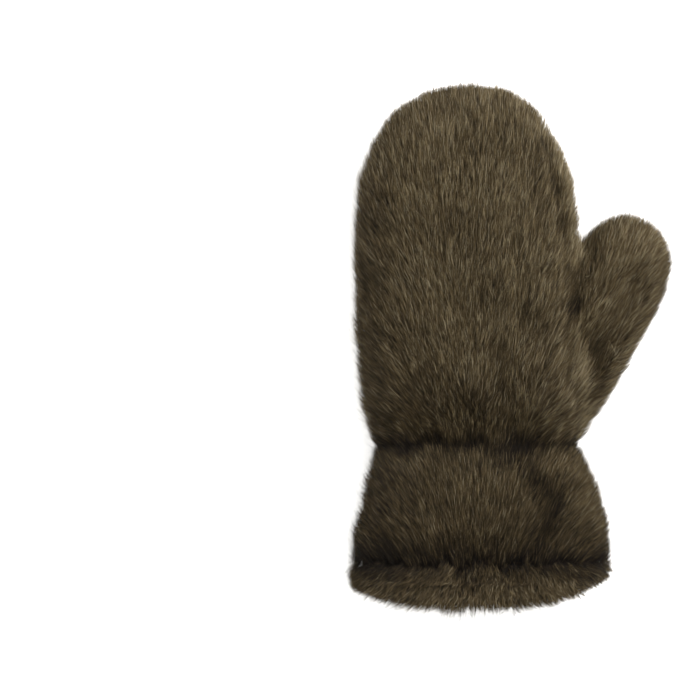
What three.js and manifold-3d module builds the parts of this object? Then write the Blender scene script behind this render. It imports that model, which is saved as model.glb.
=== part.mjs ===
// Deep-pile fur mitten for a left hand, lying on its palm with the thumb spread to one side.
// Millimetres. +Z is up from the surface it lies on, +Y runs to the fingertips, +X to the thumb.
// Each panel is a hollow wall of backing and packed pile with locks of longer fur fused to it.
import * as THREE from "three";
import Module from "manifold-3d";

const wasm = await Module();
wasm.setup();

// Driving sizes of the hand, the wrist and the cuff
const HAND_LENGTH = 195; // wrist seam to fingertip
const HAND_WIDTH = 119; // across the four fingers
const HAND_HEIGHT = 48; // off the surface, over the knuckles, without the locks
const WRIST_WIDTH = 106;
const WRIST_HEIGHT = 36;
const CUFF_LENGTH = 85; // wrist seam to hem edge
const CUFF_WIDTH = 136;
const CUFF_HEIGHT = 44;
const WALL = 8; // backing and packed pile
const FLATTENED = 1.5; // how far the soft underside is pressed flat
const CLEARANCE = 0.3; // between sewn pieces

// Driving sizes of the hem roll
const HEM_DEPTH = 24; // along the mitten in the middle of the mouth
const HEM_CORNER_DEPTH = 10.5; // along the mitten at the two sides of the mouth
const HEM_SWELL = 1.5; // how far the roll stands out past the cuff wall

// Driving sizes of the thumb
const THUMB_LENGTH = 123; // foot of its gusset to its tip
const THUMB_WIDTH = 50;
const THUMB_HEIGHT = 35;
const THUMB_LEAN = 24; // degrees from the line of the fingers
const THUMB_FOOT_ACROSS = 51; // from the hand's axis
const THUMB_FOOT_ALONG = 6; // from the wrist seam

// Driving sizes of a lock of fur
const LOCK_LENGTH = 28;
const LOCK_WIDTH = 15;
const LOCK_RISE = 3; // how far its crest stands off the backing
const LOCK_ROOT = 2.5; // how deep it is rooted in the backing
const LOCK_PITCH = 20; // from row to row
const LOCK_SPACING = 17; // from lock to lock in a row

// Sections of the cuff. along is a share of CUFF_LENGTH from the wrist seam, left and right are
// shares of CUFF_WIDTH from the mitten's axis, bottom and top are shares of CUFF_HEIGHT. fan is
// how far the nap leans out at the edges, in degrees.
const CUFF_SECTIONS = rows(
  ["along", "left", "right", "bottom", "top", "seam", "fan"],
  [
    [-0.852, -0.41, 0.56, 0, 0.93, 1, 42],
    [-0.671, -0.42, 0.588, 0, 0.97, 1, 42],
    [-0.456, -0.378, 0.555, 0, 1, 1, 42],
    [-0.226, -0.346, 0.515, 0, 0.98, 1, 44],
    [-0.084, -0.337, 0.492, 0.02, 0.91, 1, 46],
  ],
);

// The gathered section at the wrist seam, in shares of WRIST_WIDTH and WRIST_HEIGHT
const WRIST_SECTIONS = rows(
  ["along", "left", "right", "bottom", "top", "seam", "fan"],
  [[0, -0.427, 0.6, 0.04, 1, 0.98, 48]],
);

// Sections of the hand, in shares of HAND_LENGTH from the wrist seam, HAND_WIDTH and HAND_HEIGHT.
// seam is where the thumb-side seam runs, as a share of the half width.
const HAND_SECTIONS = rows(
  ["along", "left", "right", "bottom", "top", "seam", "fan"],
  [
    [0.035, -0.394, 0.545, 0.02, 0.76, 0.97, 50],
    [0.088, -0.407, 0.575, 0, 0.86, 0.9, 48],
    [0.146, -0.42, 0.585, 0, 0.93, 0.84, 42],
    [0.217, -0.43, 0.57, 0, 0.98, 0.79, 36],
    [0.311, -0.447, 0.547, 0, 1, 0.84, 32],
    [0.433, -0.45, 0.545, 0, 1, 0.9, 28],
    [0.555, -0.454, 0.515, 0, 0.98, 0.91, 25],
    [0.663, -0.453, 0.508, 0, 0.96, 0.87, 22],
    [0.767, -0.41, 0.466, 0, 0.91, 0.86, 19],
    [0.851, -0.352, 0.403, 0, 0.83, 0.93, 16],
    [0.907, -0.277, 0.35, 0.04, 0.73, 0.98, 14],
    [0.947, -0.192, 0.272, 0.11, 0.61, 0.98, 12],
    [0.973, -0.075, 0.175, 0.2, 0.48, 0.98, 10],
    [0.981, 0.02, 0.075, 0.3, 0.36, 0.98, 10],
  ],
);

// Sections of the thumb on its own leaning axis, in shares of THUMB_LENGTH from the gusset's foot,
// THUMB_WIDTH from that axis, and THUMB_HEIGHT
const THUMB_SECTIONS = rows(
  ["along", "left", "right", "bottom", "top", "fan"],
  [
    [-0.04, -0.32, 0.19, 0.05, 0.62, 10],
    [0.045, -0.38, 0.26, 0.03, 0.7, 12],
    [0.215, -0.5, 0.32, 0, 0.84, 14],
    [0.33, -0.55, 0.342, 0, 0.92, 16],
    [0.43, -0.59, 0.35, 0, 0.97, 18],
    [0.56, -0.62, 0.372, 0, 1, 20],
    [0.69, -0.61, 0.4, 0, 1, 22],
    [0.8, -0.565, 0.387, 0.01, 0.95, 24],
    [0.875, -0.5, 0.345, 0.05, 0.86, 24],
    [0.935, -0.41, 0.25, 0.13, 0.73, 22],
    [0.976, -0.3, 0.125, 0.22, 0.6, 20],
    [0.993, -0.11, -0.01, 0.36, 0.44, 20],
  ],
);

// Dents pressed into the upper side, each from one point to another. across is a share of the
// width from the axis, along a share of the length, depth of WALL, spread of the width.
const FOLD_COLUMNS = ["across", "along", "toAcross", "toAlong", "depth", "spread"];
const HAND_FOLDS = rows(FOLD_COLUMNS, [
  [0.125, 0.291, 0.165, 0.14, 0.45, 0.07],
  [0.165, 0.14, 0.196, 0.005, 0.5, 0.07],
  [0.375, 0.851, 0.429, 0.671, 0.4, 0.045],
  [0.429, 0.671, 0.487, 0.522, 0.3, 0.045],
  [0.504, 0.385, 0.473, 0.337, 0.5, 0.05],
  [0.473, 0.337, 0.473, 0.203, 0.45, 0.05],
  [0.473, 0.203, 0.54, 0.108, 0.45, 0.05],
  [0.25, 0.342, 0.24, 0.325, 0.3, 0.07],
  [0.0625, 0.38, 0.07, 0.354, 0.25, 0.06],
  [0.018, 0.103, 0.03, 0.024, 0.35, 0.05],
  [-0.16, 0.067, -0.12, 0, 0.3, 0.05],
]);
const CUFF_FOLDS = rows(FOLD_COLUMNS, [
  [0.133, -0.147, 0.152, -0.302, 0.35, 0.045],
  [0.227, -0.17, 0.336, -0.371, 0.35, 0.05],
  [0.336, -0.371, 0.285, -0.539, 0.4, 0.045],
  [-0.088, -0.144, -0.123, -0.341, 0.25, 0.05],
]);
const THUMB_FOLDS = rows(FOLD_COLUMNS, [
  [0.028, 0.727, 0.005, 0.568, 0.5, 0.14],
  [0.005, 0.568, 0.028, 0.378, 0.45, 0.14],
]);

// Form of a section: a squarish oval, widest below its middle, with more sides over its top
const SQUARENESS = 2.5;
const WIDEST_AT = 0.45;
const TOP_STEPS = 16;
const UNDER_STEPS = 8;
const LINING_TOP_STEPS = 10;
const LINING_UNDER_STEPS = 6;
const HEM_STEPS = 40; // round the mouth
const SKIN_ROW = 9; // along a limb, from ring to ring
const THINNEST_ROOM = 2; // the hollow ends where its half height falls to this
const HEM_ROUNDING = 2.4; // the lower it is, the rounder the corners of the mouth
const HEM_OFF_CENTRE = 0.09; // how far its deepest part lies from the middle, off the thumb's side

// Profile of the hem roll, flat where it meets the cuff: outward is a share of its half thickness
// and downward a share of its depth.
const HEM_PROFILE = rows(
  ["outward", "downward"],
  [
    [1, 0.45],
    [0.85, 0],
    [-0.85, 0],
    [-1, 0.45],
    [-0.85, 0.8],
    [-0.35, 1],
    [0.35, 1],
    [0.85, 0.8],
  ],
);

// Form of the cut along the side seams: its step in sections, and its reach in and out from the
// skin in walls, but never further in than a share of the width
const SEAM_STEP = 0.5;
const SEAM_IN = 1.5;
const SEAM_OUT = 5;
const SEAM_MOST = 0.45;

// Form of the locks: where their waist and foot lie, and how uneven they are
const LOCK_FOOT_WIDTH = 0.6; // shares of the lock's own width, length and rise
const LOCK_WAIST_AT = 0.45;
const LOCK_TIP_RISE = 0.8;
const LOCK_UNEVEN = 0.15;
const LOCK_DRIFT = { station: 0.12, turn: 0.04 };
const SIDE_REACH = 0.5; // radians below the side of a section that the locks go on
const SHORTEST_LOCK = 0.5; // of LOCK_LENGTH
const ROW_SHIFT = 0.25; // of the spacing, one way and the other from row to row
const MITRE = 3; // how much further a sharp corner moves than the faces beside it

// Steps of the searches and slopes worked out along a skin
const NUDGE = 0.01;
const STATION_STEP = 0.05;
const TURN_SAMPLES = 48;
const FAR = 2 * (HAND_LENGTH + CUFF_LENGTH); // past every piece

// Turns a table's column names and its rows of numbers into one record a row.
function rows(columns, table) {
  return table.map((row) => Object.fromEntries(columns.map((name, i) => [name, row[i]])));
}

// Sections in millimetres from a table of shares and the sizes that they follow.
function sized(sections, size) {
  return sections.map((row) => ({
    ...row,
    along: row.along * size.length,
    left: row.left * size.width,
    right: row.right * size.width,
    bottom: row.bottom * size.height - FLATTENED,
    top: row.top * size.height,
  }));
}

// Dents in millimetres from a table of shares and the sizes that they follow.
function dented(folds, size) {
  return folds.map((row) => ({
    line: new THREE.Line3(
      new THREE.Vector3(row.across * size.width, row.along * size.length, 0),
      new THREE.Vector3(row.toAcross * size.width, row.toAlong * size.length, 0),
    ),
    depth: row.depth * WALL,
    spread: row.spread * size.width,
  }));
}

// Hash of two whole numbers between -1 and 1, for the unevenness of the locks.
function scatter(a, b) {
  const wave = Math.sin(a * 127.1 + b * 311.7) * 43758.5453;
  return 2 * (wave - Math.floor(wave)) - 1;
}

function signedPower(base, power) {
  return Math.sign(base) * Math.abs(base) ** power;
}

// Value of a column at a station between two rows of a table, eased through the neighbouring rows.
function eased(table, column, station) {
  const last = table.length - 1;
  const from = Math.max(0, Math.min(Math.floor(station), last - 1));
  const part = station - from;
  const [a, b, c, d] = [-1, 0, 1, 2].map(
    (step) => table[Math.max(0, Math.min(from + step, last))][column],
  );
  const slope = c - a;
  const square = 2 * a - 5 * b + 4 * c - d;
  const cube = 3 * b - a - 3 * c + d;
  return b + 0.5 * part * (slope + part * (square + part * cube));
}

// Closed solid from corner points and triangles that face outward.
function solidFrom(points, triangles) {
  const mesh = new wasm.Mesh({
    numProp: 3,
    vertProperties: new Float32Array(points.flatMap((point) => point.toArray())),
    triVerts: new Uint32Array(triangles),
  });
  return new wasm.Manifold(mesh);
}

// Triangles of the band between two rings of equal numbers of points.
function band(first, second, sides) {
  const triangles = [];
  for (let i = 0; i < sides; i += 1) {
    const next = (i + 1) % sides;
    triangles.push(first + i, second + i, first + next);
    triangles.push(first + next, second + i, second + next);
  }
  return triangles;
}

// Closed solid through a list of rings, with a flat fan over each end.
function loft(rings) {
  const sides = rings[0].length;
  const points = rings.flat();
  const triangles = [];
  for (let row = 0; row + 1 < rings.length; row += 1) {
    triangles.push(...band(row * sides, (row + 1) * sides, sides));
  }
  for (const row of [0, rings.length - 1]) {
    const centre = new THREE.Vector3();
    for (const point of rings[row]) centre.addScaledVector(point, 1 / sides);
    points.push(centre);
    for (let i = 0; i < sides; i += 1) {
      const edge = [row * sides + i, row * sides + ((i + 1) % sides)];
      if (row > 0) edge.reverse();
      triangles.push(points.length - 1, ...edge);
    }
  }
  return solidFrom(points, triangles);
}

// Closed solid ring through a list of rings that comes back to its first.
function closedLoft(rings) {
  const sides = rings[0].length;
  const triangles = rings.flatMap((_, row) =>
    band(row * sides, ((row + 1) % rings.length) * sides, sides),
  );
  return solidFrom(rings.flat(), triangles);
}

// Upright block between two places along the mitten and two heights.
function block(from, to, low, high) {
  const outline = [
    [-FAR, from],
    [-FAR, to],
    [FAR, to],
    [FAR, from],
  ];
  return loft([low, high].map((z) => outline.map(([x, y]) => new THREE.Vector3(x, y, z))));
}

// A tapering hollow limb: its sections and dents in millimetres, and its place in the mitten.
class Limb {
  constructor(sections, folds, place) {
    this.sections = sections;
    this.folds = folds;
    this.place = place;
    this.last = sections.length - 1;
  }

  // Section at a station: its extents and the height of its widest part.
  section(station) {
    const [along, left, right, bottom, top] = ["along", "left", "right", "bottom", "top"].map(
      (column) => eased(this.sections, column, station),
    );
    return { along, left, right, bottom, top, waist: bottom + WIDEST_AT * (top - bottom) };
  }

  // Depth of the deepest dent over a place on the limb.
  foldDepth(x, y) {
    const here = new THREE.Vector3(x, y, 0);
    const near = new THREE.Vector3();
    const depths = this.folds.map(({ line, depth, spread }) => {
      line.closestPointToPoint(here, true, near);
      const away = near.distanceTo(here) / spread;
      return depth * Math.exp(-away * away);
    });
    return Math.max(...depths);
  }

  // Point on the skin at a turn round a section, or on the lining if it is moved in by inset.
  point(station, turn, inset = 0) {
    const cut = this.section(station);
    const above = Math.sin(turn) > 0;
    const rise = (above ? cut.top - cut.waist : cut.waist - cut.bottom) - inset;
    const halfWidth = (cut.right - cut.left) / 2 - inset;
    const spot = new THREE.Vector3(
      (cut.left + cut.right) / 2 + halfWidth * signedPower(Math.cos(turn), 2 / SQUARENESS),
      cut.along,
      cut.waist + rise * signedPower(Math.sin(turn), 2 / SQUARENESS),
    );
    if (above && inset < WALL) spot.z -= this.foldDepth(spot.x, spot.y) * Math.sin(turn);
    return spot.applyMatrix4(this.place);
  }

  // Closed ring of points round a section, with its own number of sides above and below.
  ring(station, inset, topSteps, underSteps) {
    const turns = [];
    for (let i = 0; i < topSteps; i += 1) turns.push((Math.PI * i) / topSteps);
    for (let i = 0; i < underSteps; i += 1) turns.push(Math.PI * (1 + i / underSteps));
    return turns.map((turn) => this.point(station, turn, inset));
  }

  // Solid inside the skin, grown outward by a margin.
  solid(margin) {
    const length = this.section(this.last).along - this.section(0).along;
    const steps = Math.round(length / SKIN_ROW);
    const rings = [];
    for (let i = 0; i <= steps; i += 1) {
      rings.push(this.ring((i / steps) * this.last, -margin, TOP_STEPS, UNDER_STEPS));
    }
    return loft(rings);
  }

  // Solid of the room inside the wall.
  room() {
    const roomy = (station) => {
      const cut = this.section(station);
      const halfHeight = cut.waist - cut.bottom - WALL;
      const halfWidth = (cut.right - cut.left) / 2 - WALL;
      return Math.min(halfHeight, halfWidth) > THINNEST_ROOM;
    };
    const stations = this.sections.map((_, station) => station).filter(roomy);
    return loft(stations.map((at) => this.ring(at, WALL, LINING_TOP_STEPS, LINING_UNDER_STEPS)));
  }

  // Place on the skin with its slopes along and around the limb and its outward normal.
  slopes({ station, turn }) {
    const here = this.point(station, turn);
    const along = this.point(station + NUDGE, turn).sub(here).divideScalar(NUDGE);
    const around = this.point(station, turn + NUDGE).sub(here).divideScalar(NUDGE);
    const normal = along.clone().cross(around).normalize();
    return { here, along, around, normal };
  }

  // Direction of the nap at a place, in the skin's own plane. Its length falls below one where
  // the skin turns away from the nap.
  nap(spot) {
    const fan = eased(this.sections, "fan", spot.station) * Math.cos(spot.turn);
    const lean = THREE.MathUtils.degToRad(fan);
    const heading = new THREE.Vector3(Math.sin(lean), Math.cos(lean), 0);
    heading.transformDirection(this.place);
    const { normal } = this.slopes(spot);
    return heading.addScaledVector(normal, -heading.dot(normal));
  }

  // Place on the skin reached by going a way along it.
  walk(spot, way) {
    const { along, around } = this.slopes(spot);
    const aa = along.dot(along);
    const ab = along.dot(around);
    const bb = around.dot(around);
    const det = aa * bb - ab * ab;
    const onward = (way.dot(along) * bb - way.dot(around) * ab) / det;
    const sideways = (way.dot(around) * aa - way.dot(along) * ab) / det;
    return {
      station: Math.min(spot.station + onward, this.last - NUDGE),
      turn: spot.turn + sideways,
    };
  }

  // Station at a distance along the limb.
  stationAt(along) {
    let station = 0;
    while (station < this.last && this.section(station + STATION_STEP).along < along) {
      station += STATION_STEP;
    }
    return station;
  }

  // Whether a point lies inside the skin.
  holds(point) {
    const local = point.clone().applyMatrix4(this.place.clone().invert());
    const cut = this.section(this.stationAt(local.y));
    const rise = local.z > cut.waist ? cut.top - cut.waist : cut.waist - cut.bottom;
    const x = (local.x - (cut.left + cut.right) / 2) / ((cut.right - cut.left) / 2);
    const z = (local.z - cut.waist) / rise;
    const inSection = Math.abs(x) ** SQUARENESS + Math.abs(z) ** SQUARENESS < 1;
    return local.y > this.section(0).along && inSection;
  }
}

const HAND_SIZE = { length: HAND_LENGTH, width: HAND_WIDTH, height: HAND_HEIGHT };
const WRIST_SIZE = { length: HAND_LENGTH, width: WRIST_WIDTH, height: WRIST_HEIGHT };
const CUFF_SIZE = { length: CUFF_LENGTH, width: CUFF_WIDTH, height: CUFF_HEIGHT };
const THUMB_SIZE = { length: THUMB_LENGTH, width: THUMB_WIDTH, height: THUMB_HEIGHT };

const BODY = new Limb(
  [
    ...sized(CUFF_SECTIONS, CUFF_SIZE),
    ...sized(WRIST_SECTIONS, WRIST_SIZE),
    ...sized(HAND_SECTIONS, HAND_SIZE),
  ],
  [...dented(CUFF_FOLDS, CUFF_SIZE), ...dented(HAND_FOLDS, HAND_SIZE)],
  new THREE.Matrix4(),
);
const THUMB = new Limb(
  sized(THUMB_SECTIONS, THUMB_SIZE),
  dented(THUMB_FOLDS, THUMB_SIZE),
  new THREE.Matrix4()
    .makeRotationZ(THREE.MathUtils.degToRad(-THUMB_LEAN))
    .setPosition(THUMB_FOOT_ACROSS, THUMB_FOOT_ALONG, 0),
);
const HEM_SEAM = HEM_DEPTH - CUFF_LENGTH;

// Turn round a section at which the thumb-side seam of the hand lies.
function seamTurn(station) {
  return Math.acos(Math.min(1, eased(BODY.sections, "seam", station)) ** (SQUARENESS / 2));
}

// Everything above the side seams. It is cut square to the wall on the thumb side and level on the
// other, and gap lowers both edges.
function aboveSeams(gap) {
  const rings = [];
  for (let station = 0; station <= BODY.last; station += SEAM_STEP) {
    const { here, around, normal } = BODY.slopes({ station, turn: seamTurn(station) });
    const cut = BODY.section(station);
    const deep = Math.min(SEAM_IN * WALL, SEAM_MOST * (cut.right - cut.left));
    const level = cut.waist - gap;
    const square = normal.setY(0).normalize();
    const seam = here.addScaledVector(around.setY(0).normalize(), -gap);
    const inner = seam.clone().addScaledVector(square, -deep);
    const outer = seam.clone().addScaledVector(square, SEAM_OUT * WALL);
    const outline = [
      [inner.x, inner.z],
      [outer.x, outer.z],
      [FAR, FAR],
      [-FAR, FAR],
      [-FAR, level],
      [cut.left + deep, level],
    ];
    rings.push(outline.map(([x, z]) => new THREE.Vector3(x, cut.along, z)));
  }
  rings.push(rings[rings.length - 1].map((point) => point.clone().setY(FAR)));
  return loft(rings);
}

// One lock of fur: a bent spike with a ridge, rooted in the skin and lifting toward its tip.
function lock(limb, spot, length, width, grow) {
  const nap = limb.nap(spot);
  const reach = length * nap.length();
  const middle = limb.walk(spot, nap.setLength(reach * LOCK_WAIST_AT));
  const end = limb.walk(middle, limb.nap(middle).setLength(reach * (1 - LOCK_WAIST_AT)));
  const [foot, waist, tip] = [spot, middle, end].map((at) => limb.slopes(at));
  const ahead = tip.here.clone().sub(foot.here).normalize();
  const aside = ahead.clone().cross(waist.normal).normalize();
  const corner = (at, side, lift) =>
    at.here.clone().addScaledVector(aside, side).addScaledVector(at.normal, lift);
  const waistSide = width / 2 + MITRE * grow;
  const footSide = (LOCK_FOOT_WIDTH * width) / 2 + MITRE * grow;
  const points = [
    corner(foot, -footSide, -LOCK_ROOT - grow),
    corner(foot, 0, grow),
    corner(foot, footSide, -LOCK_ROOT - grow),
    corner(waist, -waistSide, -LOCK_ROOT / 2 - grow),
    corner(waist, 0, LOCK_RISE + grow),
    corner(waist, waistSide, -LOCK_ROOT / 2 - grow),
    corner(tip, 0, LOCK_TIP_RISE * LOCK_RISE).addScaledVector(ahead, MITRE * grow),
  ];
  const triangles = [0, 2, 1];
  for (let i = 0; i < 3; i += 1) {
    const next = (i + 1) % 3;
    triangles.push(i, next, i + 3, next, next + 3, i + 3);
    triangles.push(i + 3, next + 3, 6);
  }
  return solidFrom(points, triangles);
}

// Locks at a list of places, joined into one solid and grown by a margin. None reaches past a
// seam that lies ahead of it along the mitten.
function locks(limb, spots, grow = 0, seamAhead = FAR) {
  const made = [];
  for (const spot of spots) {
    const uneven = 1 + LOCK_UNEVEN * spot.uneven;
    const left = seamAhead - limb.point(spot.station, spot.turn).y;
    const length = Math.min(LOCK_LENGTH * uneven, left);
    const shortest = LOCK_LENGTH * SHORTEST_LOCK;
    if (length > shortest) made.push(lock(limb, spot, length, LOCK_WIDTH * uneven, grow));
  }
  return wasm.Manifold.union(made);
}

// Turns that split the top and sides of a section into equal lengths, shifted by a share of one.
function evenTurns(limb, station, shift) {
  const span = Math.PI + 2 * SIDE_REACH;
  const turnAt = (sample) => (sample / TURN_SAMPLES) * span - SIDE_REACH;
  const lengths = [0];
  for (let i = 1; i <= TURN_SAMPLES; i += 1) {
    const step = limb.point(station, turnAt(i)).distanceTo(limb.point(station, turnAt(i - 1)));
    lengths.push(lengths[i - 1] + step);
  }
  const total = lengths[TURN_SAMPLES];
  const count = Math.max(1, Math.round(total / LOCK_SPACING));
  return Array.from({ length: count }, (_, i) => {
    const wanted = ((i + 0.5 + shift) / count) * total;
    const after = lengths.findIndex((length) => length >= wanted);
    const part = (wanted - lengths[after - 1]) / (lengths[after] - lengths[after - 1]);
    return turnAt(after - 1 + part);
  });
}

// Places of the locks on a limb, in staggered rows over its top and sides.
function lockSpots(limb) {
  const spots = [];
  let covered = LOCK_PITCH;
  let row = 0;
  let before = limb.point(0, Math.PI / 2);
  for (let station = NUDGE; station < limb.last; station += STATION_STEP) {
    const here = limb.point(station, Math.PI / 2);
    covered += here.distanceTo(before);
    before = here;
    if (covered < LOCK_PITCH) continue;
    covered = 0;
    row += 1;
    evenTurns(limb, station, row % 2 ? ROW_SHIFT : -ROW_SHIFT).forEach((turn, i) => {
      const uneven = scatter(row, i);
      const drifted = station + LOCK_DRIFT.station * uneven;
      const turned = turn + LOCK_DRIFT.turn * scatter(i, row);
      spots.push({ station: Math.min(drifted, limb.last - NUDGE), turn: turned, uneven });
    });
  }
  return spots.filter((spot) => spot.station > 0 && limb.point(spot.station, spot.turn).z > LOCK_RISE);
}

// Rolled hem: a ring round the mouth, deepest in the middle and shallow at the sides, with every
// other place drawn out into a tuft.
function hemRoll() {
  const station = BODY.stationAt(HEM_SEAM);
  const rings = [];
  for (const { outward, downward } of HEM_PROFILE) {
    const ring = [];
    for (let k = 0; k < HEM_STEPS; k += 1) {
      const turn = (2 * Math.PI * k) / HEM_STEPS;
      const { here, normal } = BODY.slopes({ station, turn });
      const tuft = k % 2 ? LOCK_RISE / 2 : 0;
      const half = (WALL + tuft) / 2 + HEM_SWELL;
      const middle = 1 - Math.abs(Math.cos(turn) + HEM_OFF_CENTRE) ** HEM_ROUNDING;
      const depth = HEM_CORNER_DEPTH + (HEM_DEPTH - HEM_CORNER_DEPTH) * middle + tuft;
      const out = outward * half - WALL / 2;
      const point = here.addScaledVector(normal.setY(0).normalize(), out);
      ring.push(point.setY(HEM_SEAM - CLEARANCE - downward * depth));
    }
    rings.push(ring);
  }
  return closedLoft(rings);
}

// Largest body of a solid, without the crumbs that a cut may leave.
function largest(solid) {
  return solid.decompose().reduce((best, body) => (body.volume() > best.volume() ? body : best));
}

// Places of the locks on each panel
const bodySpots = lockSpots(BODY).filter(({ station, turn }) => !THUMB.holds(BODY.point(station, turn)));
const thumbSpots = lockSpots(THUMB).filter(({ station, turn }) => !BODY.holds(THUMB.point(station, turn)));
const isAlong = (low, high) => ({ station, turn }) => {
  const { y } = BODY.point(station, turn);
  return y > low && y < high;
};
const isBack = ({ station, turn }) => turn > seamTurn(station) && turn < Math.PI;
const cuffSpots = bodySpots.filter(isAlong(HEM_SEAM, 0));
const handSpots = bodySpots.filter(isAlong(0, FAR));
const backSpots = handSpots.filter(isBack);
const palmSpots = handSpots.filter((spot) => !isBack(spot));

// The wall of the hand and cuff, open at the mouth and into the thumb
const thumbRoom = THUMB.room();
const shell = BODY.solid(0).subtract(BODY.room()).subtract(thumbRoom);
const handBlock = block(CLEARANCE / 2, FAR, -FAR, FAR);
const cuffBlock = block(HEM_SEAM, -CLEARANCE / 2, -FAR, FAR);
const besideThumb = BODY.solid(CLEARANCE).add(locks(BODY, handSpots, CLEARANCE));

const pieces = {
  back_panel: shell.add(locks(BODY, backSpots)).intersect(handBlock).intersect(aboveSeams(0)),
  palm_panel: shell.add(locks(BODY, palmSpots)).intersect(handBlock).subtract(aboveSeams(CLEARANCE)),
  thumb: THUMB.solid(0).subtract(thumbRoom).add(locks(THUMB, thumbSpots)).subtract(besideThumb),
  cuff: shell.add(locks(BODY, cuffSpots, 0, 0)).intersect(cuffBlock),
  cuff_hem: hemRoll(),
};

// Colour of the pile on each piece
const FUR = {
  back_panel: 0x4e4536,
  palm_panel: 0x4a4132,
  thumb: 0x544b3a,
  cuff: 0x443b2b,
  cuff_hem: 0x4a4030,
};

const floor = block(-FAR, FAR, -FAR, 0);
const mitten = new THREE.Group();
for (const [name, solid] of Object.entries(pieces)) {
  const { vertProperties, triVerts } = largest(solid.subtract(floor)).getMesh();
  const geometry = new THREE.BufferGeometry();
  geometry.setAttribute("position", new THREE.BufferAttribute(vertProperties, 3));
  geometry.setIndex(new THREE.BufferAttribute(triVerts, 1));
  const pile = new THREE.MeshStandardMaterial({ color: FUR[name], roughness: 0.85, metalness: 0 });
  const mesh = new THREE.Mesh(geometry, pile);
  mesh.name = name;
  mitten.add(mesh);
}

// The origin lies under the middle of the mitten, on the surface it rests on.
const extent = new THREE.Box3().setFromObject(mitten);
const centre = extent.getCenter(new THREE.Vector3());
for (const mesh of mitten.children) mesh.geometry.translate(-centre.x, -centre.y, 0);

export default mitten;
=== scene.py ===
"""A deep-pile fur mitten for a left hand, lying on its palm in plain studio light.

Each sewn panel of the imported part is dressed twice: a hide, which is the panel's own skin with
its hollow, and a coat of fur strands that grow out of the hide and lie along the nap.
Lengths whose names end in _mm are in millimetres. Everything that is built is in metres.
"""

import logging
import math
from dataclasses import dataclass, field
from enum import Enum
from typing import Any, Sequence

import bpy
import numpy as np
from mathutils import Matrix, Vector
from mathutils.bvhtree import BVHTree
from mathutils.kdtree import KDTree

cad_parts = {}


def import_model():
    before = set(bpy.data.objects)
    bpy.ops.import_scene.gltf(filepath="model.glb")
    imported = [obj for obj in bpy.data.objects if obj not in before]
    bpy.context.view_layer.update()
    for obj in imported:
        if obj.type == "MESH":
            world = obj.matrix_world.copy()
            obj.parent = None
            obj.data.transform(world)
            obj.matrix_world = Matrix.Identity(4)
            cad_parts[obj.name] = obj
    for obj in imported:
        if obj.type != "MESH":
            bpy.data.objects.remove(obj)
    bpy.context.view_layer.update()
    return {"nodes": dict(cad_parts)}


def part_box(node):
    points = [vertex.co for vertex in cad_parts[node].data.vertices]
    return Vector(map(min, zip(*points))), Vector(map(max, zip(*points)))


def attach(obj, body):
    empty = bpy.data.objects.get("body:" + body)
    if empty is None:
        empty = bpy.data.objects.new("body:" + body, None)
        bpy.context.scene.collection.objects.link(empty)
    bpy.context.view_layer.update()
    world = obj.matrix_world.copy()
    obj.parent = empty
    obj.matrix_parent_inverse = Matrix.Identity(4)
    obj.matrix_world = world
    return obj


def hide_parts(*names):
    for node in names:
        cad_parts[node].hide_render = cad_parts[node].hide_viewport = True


log = logging.getLogger("mitten")

MM = 0.001
BODY = "root"
COAT_MAP = "OFBake"
# A colour mix has several sockets of one name, so these are taken by number.
MIX_FACTOR, MIX_FIRST, MIX_SECOND, MIX_RESULT = 0, 6, 7, 2
NEXT_TO_NOTHING = 1e-9  # keeps a division by a length from failing


def linear(colour: str) -> tuple[float, float, float, float]:
    """Turns an sRGB colour into the linear one that a shader takes.

    Args:
        colour: the colour as "#rrggbb".

    Returns:
        Linear red, green, blue and an alpha of one.
    """
    parts = [int(colour[i : i + 2], 16) / 255 for i in (1, 3, 5)]
    bent = [c / 12.92 if c <= 0.04045 else ((c + 0.055) / 1.055) ** 2.4 for c in parts]
    return (bent[0], bent[1], bent[2], 1.0)


def unit(vectors: np.ndarray) -> np.ndarray:
    """Scales each row of an array of vectors to length one."""
    lengths = np.linalg.norm(vectors, axis=-1, keepdims=True)
    return vectors / np.maximum(lengths, NEXT_TO_NOTHING)


def blank(*shape: int, kind: type = float) -> Any:
    """Gives a dataclass field that starts as an array of noughts."""
    return field(default_factory=lambda: np.zeros(shape, kind))


def stand(name: str, data: bpy.types.ID) -> bpy.types.Object:
    """Adds an object to the scene.

    Args:
        name: the object's name.
        data: its mesh, light or camera.

    Returns:
        The object.
    """
    made = bpy.data.objects.new(name, data)
    bpy.context.scene.collection.objects.link(made)
    return made


def node(tree: bpy.types.NodeTree, kind: str, settings: dict[str, Any] | None = None,
         inputs: dict[str, Any] | None = None) -> bpy.types.Node:
    """Adds a node with its settings, and fills or links its sockets.

    Args:
        tree: the node tree that takes the node.
        kind: the node's type name.
        settings: properties of the node itself.
        inputs: a value, or the socket to link from, for each input by name.

    Returns:
        The new node.
    """
    made = tree.nodes.new(kind)
    for name, value in (settings or {}).items():
        setattr(made, name, value)
    for name, value in (inputs or {}).items():
        socket = made.inputs[name]
        if isinstance(value, bpy.types.NodeSocket):
            tree.links.new(value, socket)
        else:
            socket.default_value = value
    return made


def paint_ramp(ramp: bpy.types.ColorRamp, stops: Sequence[tuple[float, str]]) -> None:
    """Sets a colour ramp's stops.

    Args:
        ramp: the ramp of a colour ramp node.
        stops: the place and sRGB colour of each stop, in order.
    """
    while len(ramp.elements) < len(stops):
        ramp.elements.new(1.0)
    for element, (place, colour) in zip(ramp.elements, stops):
        element.position = place
        element.color = linear(colour)


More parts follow.
